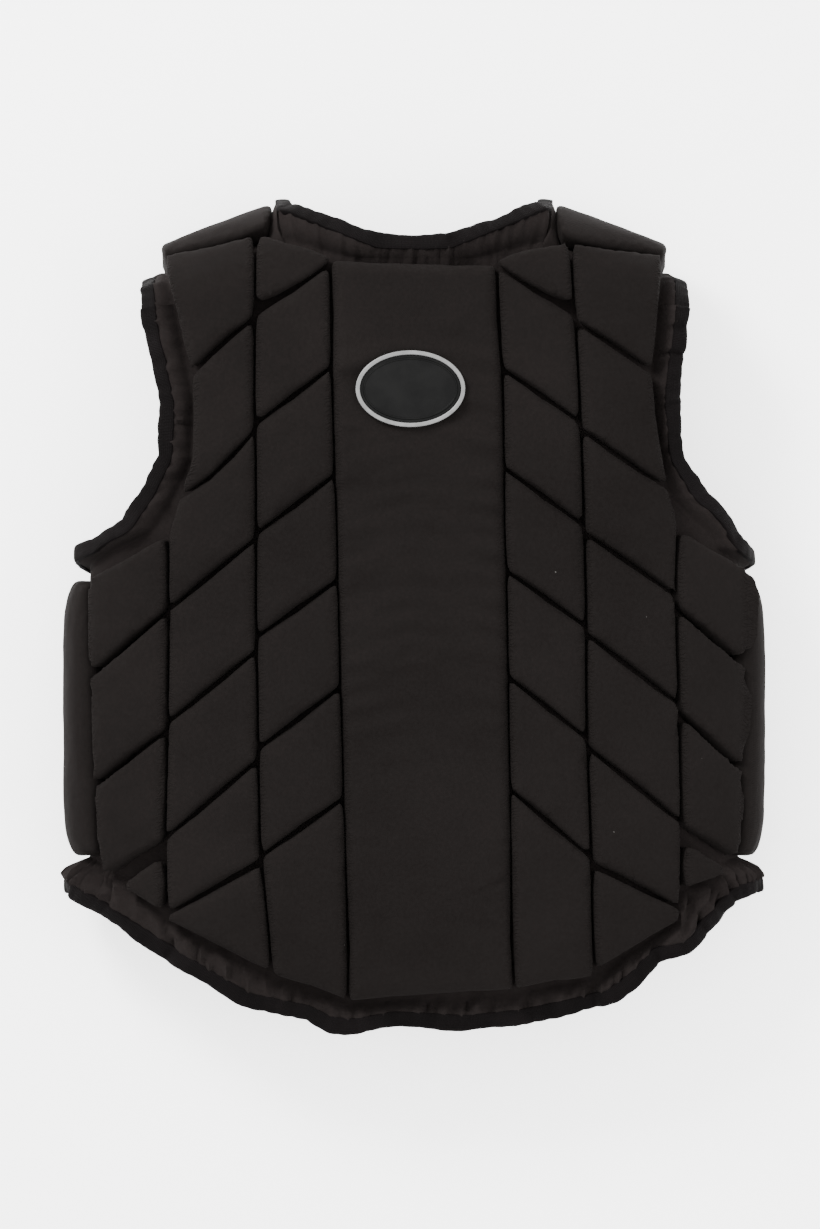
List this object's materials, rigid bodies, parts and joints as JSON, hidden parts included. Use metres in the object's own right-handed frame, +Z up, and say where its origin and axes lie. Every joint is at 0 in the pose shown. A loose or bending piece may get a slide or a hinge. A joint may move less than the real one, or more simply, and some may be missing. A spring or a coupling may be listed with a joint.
{
  "type": "equestrian body protector",
  "caption": "Padded sleeveless vest of foam blocks in fabric, with a long spine pad, side and shoulder pads, bound neck, armholes and hem, and an oval badge, lying flat.",
  "frame": {"origin": "middle of the outline on the surface the vest lies on", "axes": "+X across the body to the wearer's right, +Y along the body from hem to neck, +Z up out of the wearer's back"},
  "size_m": [0.494, 0.5816, 0.1046],
  "materials": {
    "fabric": "matt woven black nylon",
    "binding": "ribbed black tape",
    "badge_rubber": "satin black",
    "badge_rim": "satin pale grey",
    "zip": "matt black"
  },
  "bodies": {
    "root": {"spine_pad": "fabric", "inner_pad_left_1": "fabric", "inner_pad_left_2": "fabric", "inner_pad_left_3": "fabric", "inner_pad_left_4": "fabric", "inner_pad_left_5": "fabric", "inner_pad_left_6": "fabric", "inner_pad_left_7": "fabric", "inner_pad_right_1": "fabric", "inner_pad_right_2": "fabric", "inner_pad_right_3": "fabric", "inner_pad_right_4": "fabric", "inner_pad_right_5": "fabric", "inner_pad_right_6": "fabric", "inner_pad_right_7": "fabric", "middle_pad_left_1": "fabric", "middle_pad_left_2": "fabric", "middle_pad_left_3": "fabric", "middle_pad_left_4": "fabric", "middle_pad_left_5": "fabric", "middle_pad_left_6": "fabric", "middle_pad_left_7": "fabric", "middle_pad_right_1": "fabric", "middle_pad_right_2": "fabric", "middle_pad_right_3": "fabric", "middle_pad_right_4": "fabric", "middle_pad_right_5": "fabric", "middle_pad_right_6": "fabric", "middle_pad_right_7": "fabric", "outer_pad_left_1": "fabric", "outer_pad_left_2": "fabric", "outer_pad_left_3": "fabric", "outer_pad_right_1": "fabric", "outer_pad_right_2": "fabric", "outer_pad_right_3": "fabric", "corner_pad_left": "fabric", "corner_pad_right": "fabric", "side_pad_left": "fabric", "side_pad_right": "fabric", "shoulder_pad_left": "fabric", "shoulder_pad_right": "fabric", "front_pad_left_1": "fabric", "front_pad_right_1": "fabric", "front_pad_left_2": "fabric", "front_pad_right_2": "fabric", "front_pad_left_3": "fabric", "front_pad_right_3": "fabric", "back_cover": "fabric", "front_cover_left": "fabric", "front_cover_right": "fabric", "armhole_binding_left": "binding", "armhole_binding_right": "binding", "neck_binding": "binding", "hem_binding": "binding", "front_zip": "zip", "badge_plate": "badge_rubber", "badge_rim": "badge_rim"}
  },
  "joints": []
}
